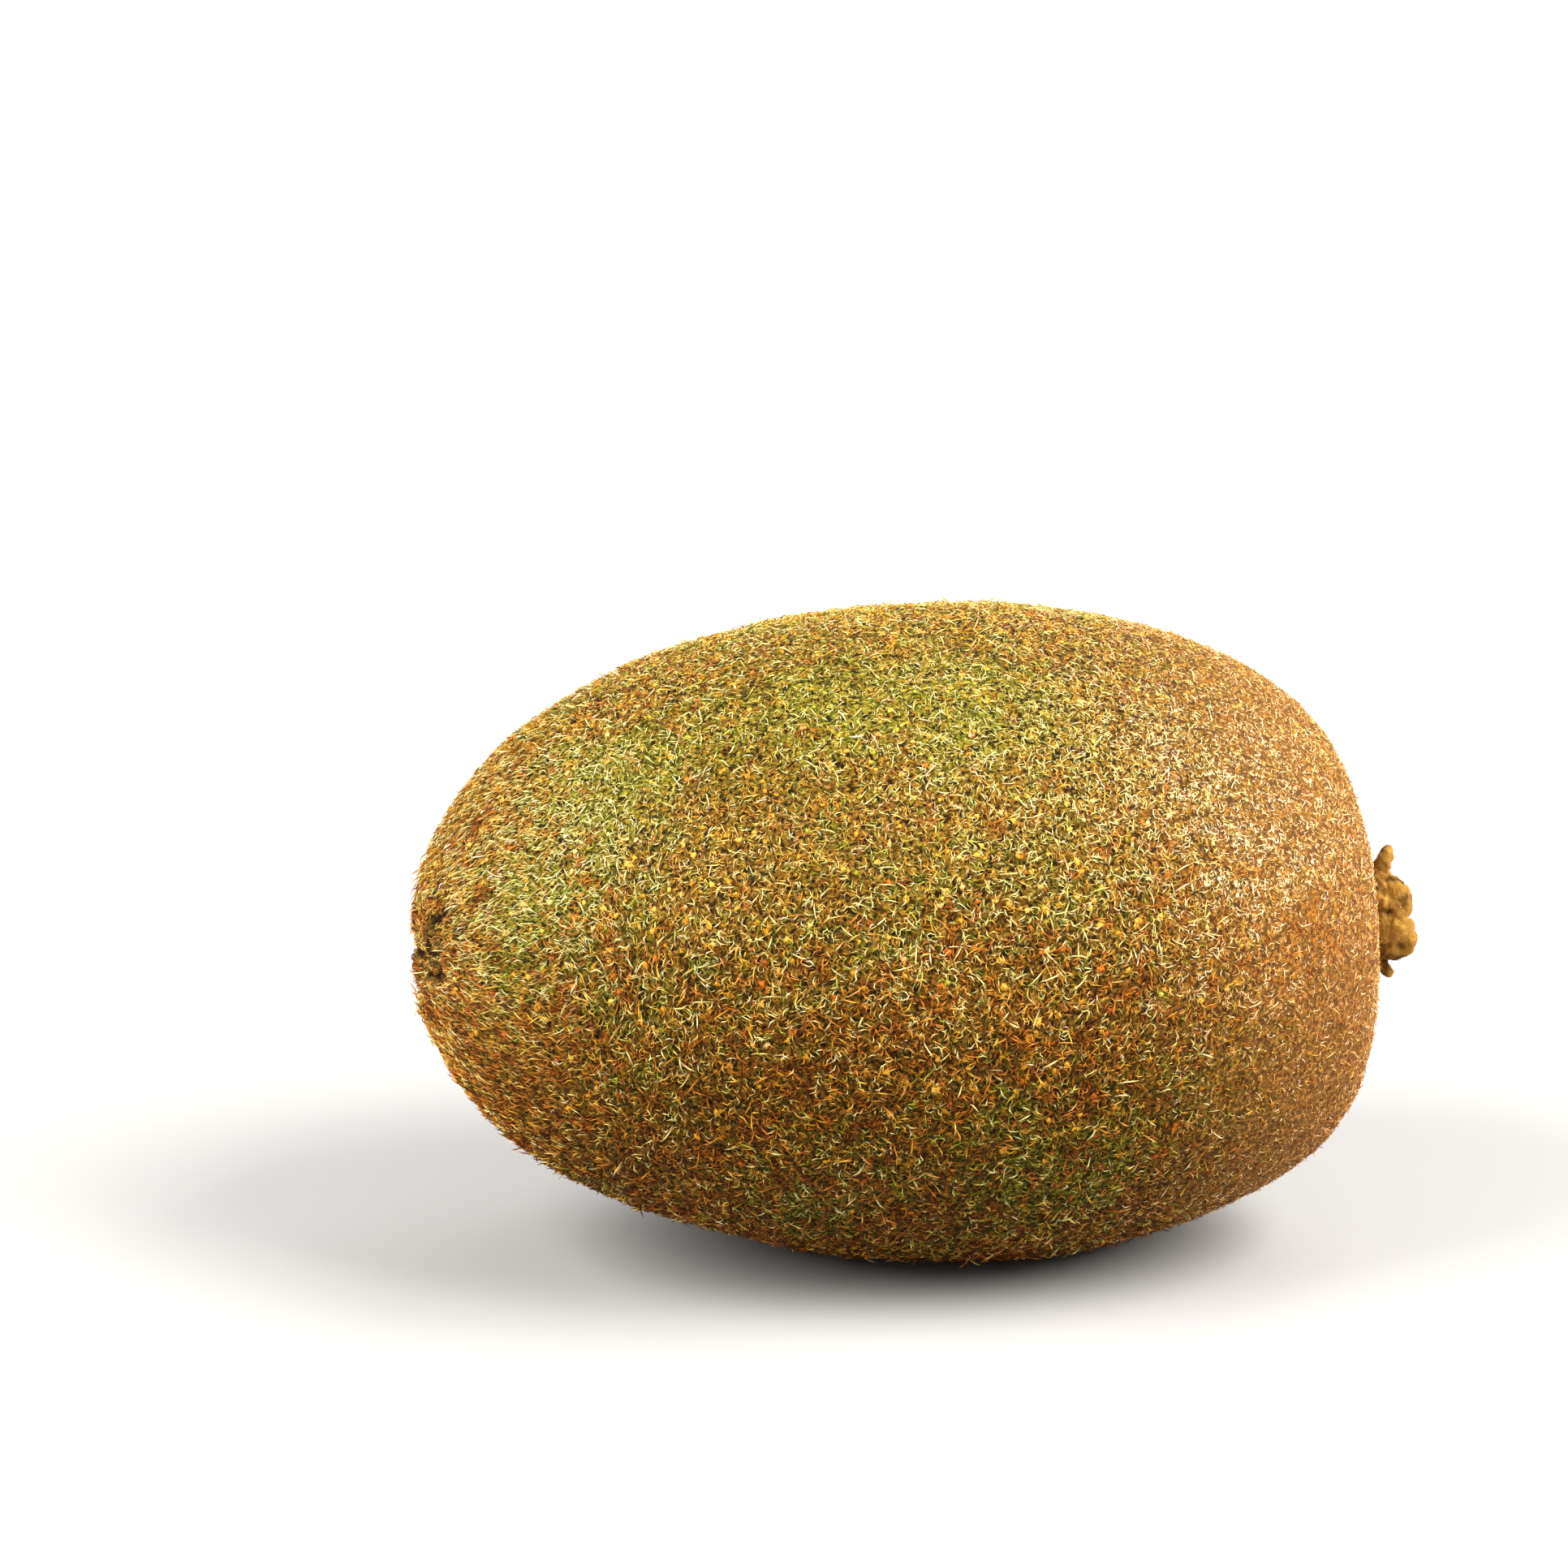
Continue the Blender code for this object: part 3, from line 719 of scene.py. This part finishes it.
def tuft_models(hairs, spokes, variants, random):
    """Small tufts: a matted pad with a few of the hair models curling out of it all round."""
    shapes, triangles, along = hairs
    pad, pad_triangles = pad_model()
    above = (0.0, 0.0, PAD_RISE)
    tufts = []
    for variant in range(variants):
        parts = [pad * (1.0 + PAD_CRUMPLE * random.normal(size=pad.shape)) + above]
        for spoke in range(spokes):
            turn = 2 * math.pi * (spoke + SPOKE_STRAY * random.random()) / spokes
            lift = math.radians(random.uniform(*SPOKE_LIFT))
            shape = shapes[random.integers(len(shapes))] * random.uniform(*SPOKE_LENGTH)
            aim = Matrix.Rotation(turn, 3, "Z") @ Matrix.Rotation(-lift, 3, "Y")
            parts.append(shape @ np.array(aim).T + above)
        tufts.append(np.concatenate(parts))
    joined = [pad_triangles] + [triangles + len(pad) + spoke * shapes.shape[1] for spoke in range(spokes)]
    pad_along = np.clip(PAD_SHADE + pad[:, 2] / PAD_SHAPE[2], 0.0, 1.0)
    return np.array(tufts), np.concatenate(joined), np.concatenate([pad_along] + [along] * spokes)


# Planting the hairs

class Ground:
    """A piece's triangles, from which hairs take their roots."""

    def __init__(self, piece):
        self.places, self.normals = places_and_normals(piece)
        piece.data.calc_loop_triangles()
        corners = np.empty(len(piece.data.loop_triangles) * 3, dtype=np.int32)
        piece.data.loop_triangles.foreach_get("vertices", corners)
        self.corners = corners.reshape(-1, 3)
        a, b, c = (self.places[self.corners[:, k]] for k in range(3))
        self.areas = np.linalg.norm(np.cross(b - a, c - a), axis=1) / 2

    def roots(self, count, random, keep=None):
        """Places and normals spread evenly over the piece; keep gives each vertex's share of hairs."""
        weights = self.areas if keep is None else self.areas * keep[self.corners].mean(axis=1)
        edges = np.cumsum(weights)
        chosen = np.searchsorted(edges, random.random(count) * edges[-1])
        one, two = random.random(count), random.random(count)
        flip = one + two > 1
        one[flip], two[flip] = 1 - one[flip], 1 - two[flip]
        shares = np.stack([1 - one - two, one, two], axis=1)[:, :, None]
        corners = self.corners[chosen]
        return ((self.places[corners] * shares).sum(axis=1),
                unit((self.normals[corners] * shares).sum(axis=1)))


def lay_of_hairs(roots, normals, random, lift_mean, lift_spread):
    """The direction of each hair: any way round the middle, in line with the pucker near the style end."""
    count = len(roots)
    meridian = np.array((STYLE_END - STALK_END).normalized())
    towards = unit(meridian - normals * (normals @ meridian)[:, None])
    sideways = np.cross(normals, towards)
    comb = 1.0 - smooth_step(*PUCKER_COMB, (roots[:, 0] - STYLE_END.x) / MM)
    turn = math.pi * (1.0 - PUCKER_ORDER * comb) * (random.random(count) * 2 - 1)
    flat = towards * np.cos(turn)[:, None] + sideways * np.sin(turn)[:, None]
    stray = np.where(random.random(count) < STRAYS * (1.0 - comb), STRAY_LIFT, 0.0)
    lift = np.radians(np.clip(random.normal(lift_mean, lift_spread, count) + stray, *LIFT_LIMITS))
    ahead = flat * np.cos(lift)[:, None] + normals * np.sin(lift)[:, None]
    across = np.cross(normals, flat)
    return ahead, across, np.cross(ahead, across)


def upper_side(normals):
    """A mask of the upper side of the fruit."""
    return smooth_step(*UPPER_FROM, normals @ np.array(TOP_SIDE))


def lengths_of(roots, normals, ahead, shortest, longest, random):
    """A length for each hair: shorter towards the stalk, on the upper side and beside the creases."""
    size = shortest + (longest - shortest) * random.random(len(roots)) ** LENGTH_SKEW
    size *= 1.0 - STALK_SHORTER * smooth_step(*STALK_SHORTENS, roots[:, 0] / MM)
    size *= 1.0 - UPPER_SHORTER * upper_side(normals)
    size *= 1.0 - CREASE_SHORTER * creases_at(roots)[1] ** CREASE_SOON
    for along in CROSSING_STEPS:
        crossing = creases_at(roots + ahead * size[:, None] * along)[1]
        size *= 1.0 - CROSSING_SHORTER * smooth_step(*CROSSING_DARK, crossing)
    return size


def zones_at(roots, normals):
    """A soft mask of each zone of the fruit at each root."""
    facing = normals @ np.array(TOP_SIDE) + TOP_RAGGED * lumps(roots, TOP_RAG_SIZE, seed=32)
    top = smooth_step(*TOP_ZONE, facing)
    from_style = (roots[:, 0] - STYLE_END.x) / MM
    along = roots[:, 0] / MM + STALK_RAGGED * lumps(roots, STALK_RAG_SIZE, seed=31)
    return {
        "all over": 1.0,
        "top": top,
        "flank": 1.0 - top,
        "patch": smooth_step(*PATCH_ZONE, lumps(roots, PATCH_SIZE, seed=33)),
        "green patch": green_at(roots),
        "style end": 1.0 - smooth_step(*STYLE_ZONE, from_style),
        "stalk end": smooth_step(*STALK_ZONE, along),
    }


def row_shares(roots, normals):
    """How likely each row of tones is at each root, in the order of ROWS."""
    zones = zones_at(roots, normals)
    shares = np.empty((len(roots), len(ROWS)))
    for column, row in enumerate(ROWS):
        share = sum(amount * zones[zone] for zone, amount in GROWS[row].items())
        for zone, taken in FADES[row].items():
            share = share * (1.0 - taken * zones[zone])
        shares[:, column] = share
    for stain, reach, leaning, paler in STAINS:
        shares[:, ROWS.index(leaning)] += STAIN_PULL * near_to(roots, stain, reach)
    return shares / shares.sum(axis=1, keepdims=True)


def tones_of(roots, normals, random, middle, clump_part, chance_part, row_weights=(1.0, 1.0, 1.0, 1.0)):
    """A tone for each hair: its row by where it grows, its place in the row by clumps and chance, and by
    painted light and shade.
    """
    shares = row_shares(roots, normals) * row_weights
    steps = np.cumsum(shares / shares.sum(axis=1, keepdims=True), axis=1)
    flecks = lumps(roots, FLECK_SIZE, seed=41).argsort().argsort() / len(roots)
    drawn = flecks + FLECK_BLUR * random.random(len(roots))
    row = np.minimum((np.mod(drawn, 1.0)[:, None] > steps).sum(axis=1), len(ROWS) - 1)
    upper = upper_side(normals)
    clumps = clump_part * lumps(roots, CLUMP_SIZE, seed=42) * (1 - UPPER_CALM * upper)
    chance = chance_part * random.normal(size=len(roots)) * (1 + LOWER_LIVELY * (1 - upper))
    chance = chance * (1 - STALK_CALM * shares[:, ROWS.index("tan")])
    # UPPER_PAINTED_LIGHT makes the upper side paler as painted light from above
    pale = middle + UPPER_PAINTED_LIGHT * upper + clumps + SWING_PALER * lumps(roots, SWING_SIZE, seed=43) + chance
    # Painted shade: hairs whose normals point down are darker
    pale = pale - UNDERSIDE_PAINTED_SHADE * smooth_step(*UNDERSIDE_FROM, -normals[:, 2])
    # Painted highlights on the shoulders
    for highlight, reach, paler in PAINTED_HIGHLIGHTS:
        pale = pale + paler * near_to(roots, highlight, reach)
    for stain, reach, leaning, paler in STAINS:
        pale = pale + paler * near_to(roots, stain, reach)
    pale = np.clip(pale, *TONE_ENDS)
    low = np.array([TONE_ROWS[name][0] for name in ROWS])[row]
    high = np.array([TONE_ROWS[name][1] for name in ROWS])[row]
    return low + (high - low) * pale


def hair_mesh(name, kind, roots, ahead, across, up, lengths, tones, random):
    """Copies of the hair models, one on each root, joined as one mesh with its tone map.

    Towards the stalk end the map starts further up the hair, so that the roots get less painted shade
    there.
    """
    models, triangles, along = kind
    count, corner_count = len(roots), models.shape[1]
    shapes = models[random.integers(len(models), size=count)]
    shapes = shapes * lengths[:, None, None]
    offsets = (shapes[:, :, 0:1] * ahead[:, None] + shapes[:, :, 1:2] * across[:, None]
               + shapes[:, :, 2:3] * up[:, None])
    room = roots[:, 2] - FLOOR_GAP
    reach = -offsets[:, :, 2].min(axis=1)
    squeeze = np.clip(room / np.maximum(reach, 1e-9), FLATTEST, 1.0)
    offsets[:, :, 2] *= np.where(reach > room, squeeze, 1.0)[:, None]
    places = roots[:, None] + offsets
    faces = (triangles[None] + (np.arange(count) * corner_count)[:, None, None]).reshape(-1, 3)
    mesh = bpy.data.meshes.new(name)
    mesh.vertices.add(count * corner_count)
    mesh.vertices.foreach_set("co", places.ravel())
    mesh.loops.add(faces.size)
    mesh.loops.foreach_set("vertex_index", faces.ravel().astype(np.int32))
    mesh.polygons.add(len(faces))
    mesh.polygons.foreach_set("loop_start", np.arange(0, faces.size, 3, dtype=np.int32))
    mesh.update(calc_edges=True)
    step = np.arange(corner_count) % 3
    u = tones[:, None] + (step * TONE_STEP)[None]
    start = PALE_ROOTS * smooth_step(*PALE_ROOTS_FROM, roots[:, 0] / MM)[:, None]
    rise = np.clip(along + ROOT_ON_MAP + step * ROOT_TO_TIP_STEP, 0.0, TIP_ON_MAP)
    v = start + (1.0 - start) * rise[None]
    chart = np.stack([np.clip(u, MAP_MARGIN, 1.0 - MAP_MARGIN), v], axis=2).reshape(-1, 2)
    mesh.uv_layers.new(name="OFBake").data.foreach_set("uv", chart[faces.ravel()].ravel())
    mesh.shade_smooth()
    hairs = bpy.data.objects.new(name, mesh)
    bpy.context.scene.collection.objects.link(hairs)
    return hairs


def hair_coat(name, ground, models, material, slot, count, most, lengths, lift, tone, seed, keep=None):
    """One kind of hair all over a piece, in pieces of at most so many hairs."""
    random = np.random.default_rng(seed)
    for piece in range(math.ceil(count / most)):
        part = min(most, count - piece * most)
        roots, normals = ground.roots(part, random, keep)
        ahead, across, up = lay_of_hairs(roots, normals, random, *lift)
        size = lengths_of(roots, normals, ahead, *lengths, random)
        hairs = hair_mesh(f"{name}_{piece + 1}", models, roots - normals * ROOT_DEPTH,
                          ahead, across, up, size, tones_of(roots, normals, random, *tone), random)
        dress(hairs, material, slot)


def down_and_hairs(skin, tone_group):
    """The four kinds of hair on the skin. Gives the curly hairs' models and the nap's material."""
    ground = Ground(skin)
    bare = 1.0 - smooth_step(*BARE_DARK, creases_at(ground.places)[1])
    nap_models = hair_models(NAP_GIRTH, NAP_RINGS, NAP_BENDS)
    curly_models = hair_models(CURLY_GIRTH, CURLY_RINGS, CURLY_BENDS)
    straw_models = hair_models(STRAW_GIRTH, STRAW_RINGS, STRAW_BENDS)
    tufted = tuft_models(curly_models, TUFT_SPOKES, TUFT_VARIANTS, np.random.default_rng(TUFT_SEED))
    # root_shade sets the painted shade at each hair's root
    nap = hair_material("short_nap", tone_group, root_shade=0.3, tip_shade=1.0, roughness=0.6)
    curly = hair_material("curly_hair", tone_group, root_shade=0.12, tip_shade=1.0, roughness=0.42)
    straw = hair_material("straw_hair", tone_group, root_shade=0.3, tip_shade=1.0, roughness=0.4)
    for name, models, material in (("nap", nap_models, nap), ("curly", curly_models, curly),
                                   ("straw", straw_models, straw), ("tuft", tufted, curly)):
        hair_coat(name, ground, models, material, "nap", **COATS[name], keep=bare)
    return curly_models, nap


# Calyx, scar and styles

def crumpled(obj, lump_sizes):
    """Pushes a piece's surface in and out by lumps of several sizes, and marks its hollows for painted
    shade.
    """
    places, normals = places_and_normals(obj)
    pushed, full = np.zeros(len(places)), sum(height for size, height in lump_sizes)
    for seed, (size, height) in enumerate(lump_sizes):
        pushed += lumps(places, size, DRY_LUMP_SEED + seed) * height
    move_vertices(obj, places + normals * pushed[:, None])
    mark_vertices(obj, "hollow_shade", smooth_step(0.0, HOLLOW_FULL, -pushed / full))
    return obj


def dried_ends(mottle, felt_models, felt_material):
    """The crumpled, felted calyx with the stalk's scar inside it, and the husk of styles."""
    calyx_felt = dry_material("calyx_felt", mottle, srgb(112, 74, 22), srgb(200, 154, 68), roughness=0.9,
                              patch_scale=350.0, speck_scale=2200.0, seed=2.0, relief=0.3 * MM)
    scar_cork = dry_material("scar_cork", mottle, srgb(112, 84, 48), srgb(176, 148, 92), roughness=0.85,
                             patch_scale=600.0, speck_scale=2600.0, seed=3.0, relief=0.2 * MM)
    style_husk = dry_material("style_husk", mottle, srgb(46, 27, 12), srgb(112, 76, 38), roughness=0.85,
                              patch_scale=900.0, speck_scale=3000.0, seed=5.0, relief=0.1 * MM)
    calyx = dress(crumpled(fine_copy("calyx", "calyx_lobes", 2), CALYX_LUMPS), calyx_felt, "sepal", "calyx")
    dress(crumpled(fine_copy("stalk_scar", "scar_disc", 2), SCAR_LUMPS), scar_cork, "cork", "stalk_scar")
    dress(fine_copy("styles", "style_tuft", 1), style_husk, "husk", "styles")
    hair_coat("felt", Ground(calyx), felt_models, felt_material, "sepal", **COATS["felt"])


# Stage

def photograph_camera():
    """The camera at the photograph's viewing angle, turned so that the fruit sits where it does there."""
    back = Vector((math.sin(VIEW_AZIMUTH) * math.cos(VIEW_ELEVATION),
                   -math.cos(VIEW_AZIMUTH) * math.cos(VIEW_ELEVATION), math.sin(VIEW_ELEVATION)))
    right = Vector((math.cos(VIEW_AZIMUTH), math.sin(VIEW_AZIMUTH), 0.0))
    focal_pixels = FOCAL_LENGTH / SENSOR_WIDTH * IMAGE_WIDTH
    ahead = (-back - right * (AIM_RIGHT_OF_CENTRE / focal_pixels)
             + back.cross(right) * (AIM_BELOW_CENTRE / focal_pixels)).normalized()
    side = ahead.cross(Vector((0, 0, 1))).normalized()
    data = bpy.data.cameras.new("photo_camera")
    data.lens = FOCAL_LENGTH
    data.sensor_width = SENSOR_WIDTH
    data.clip_start = 0.01
    camera = bpy.data.objects.new("photo_camera", data)
    axes = Matrix((side, side.cross(ahead), -ahead)).transposed().to_4x4()
    camera.matrix_world = Matrix.Translation(VIEW_AIM + back * VIEW_DISTANCE) @ axes
    bpy.context.scene.collection.objects.link(camera)
    bpy.context.scene.camera = camera


def soft_box(name, place, width, power, colour):
    """A square area light that faces the fruit."""
    data = bpy.data.lights.new(name, "AREA")
    data.shape = "SQUARE"
    data.size = width
    data.energy = power
    data.color = colour
    light = bpy.data.objects.new(name, data)
    light.location = place
    light.rotation_euler = (Vector(place) - VIEW_AIM).to_track_quat("Z", "Y").to_euler()
    bpy.context.scene.collection.objects.link(light)


def table_material():
    """Pale grey with faint clouds, painted whiter further from the fruit and glowing at the far end, as
    painted light.
    """
    material, tree, shader = new_material("pale_table")
    place = tree.nodes.new("ShaderNodeTexCoord")
    cloud = add_node(tree, "ShaderNodeTexNoise", Scale=3.0, Detail=2.0)
    away = add_node(tree, "ShaderNodeVectorMath", operation="LENGTH")
    tree.links.new(place.outputs["Object"], cloud.inputs["Vector"])
    tree.links.new(place.outputs["Object"], away.inputs[0])
    masks = []
    for near, far in (TURNS_WHITE, GLOW_SETS_IN):
        mask = add_node(tree, "ShaderNodeMapRange", From_Min=near, From_Max=far)
        tree.links.new(away.outputs["Value"], mask.inputs["Value"])
        masks.append(mask.outputs["Result"])
    white, painted_glow = masks
    grey = mix(tree, cloud.outputs["Fac"], *TABLE_GREYS)
    tree.links.new(mix(tree, white, grey, TABLE_WHITE), shader.inputs["Base Color"])
    tree.links.new(mix(tree, painted_glow, BLACK, TABLE_PAINTED_GLOW), shader.inputs["Emission Color"])
    shader.inputs["Emission Strength"].default_value = 1.0
    shader.inputs["Roughness"].default_value = 0.7
    return material


def studio():
    """A pale table painted paler away from the fruit as painted light, three soft boxes, and white air all
    round.
    """
    bpy.ops.object.select_all(action="DESELECT")
    bpy.ops.mesh.primitive_plane_add(size=TABLE_WIDTH, location=(0, 0, 0))
    floor = bpy.context.object
    floor.name = "floor"
    floor.data.materials.append(table_material())
    for box in SOFT_BOXES:
        soft_box(*box)
    world = bpy.data.worlds.new("studio_air")
    bpy.context.scene.world = world
    world.use_nodes = True
    tree = world.node_tree
    air = tree.nodes["Background"]
    air.inputs["Color"].default_value = (1.0, 1.0, 1.0, 1.0)
    seen = tree.nodes.new("ShaderNodeLightPath")
    strength = add_node(tree, "ShaderNodeMapRange", To_Min=AIR_LIGHT, To_Max=1.0)
    tree.links.new(seen.outputs["Is Camera Ray"], strength.inputs["Value"])
    tree.links.new(strength.outputs["Result"], air.inputs["Strength"])
    bpy.context.scene.view_settings.view_transform = "Standard"


# Making

mottle = mottle_group()
skin = kiwi_skin(skin_material(mottle))
curly_models, nap_material = down_and_hairs(skin, hair_tone_group())
dried_ends(mottle, curly_models, nap_material)
studio()
photograph_camera()
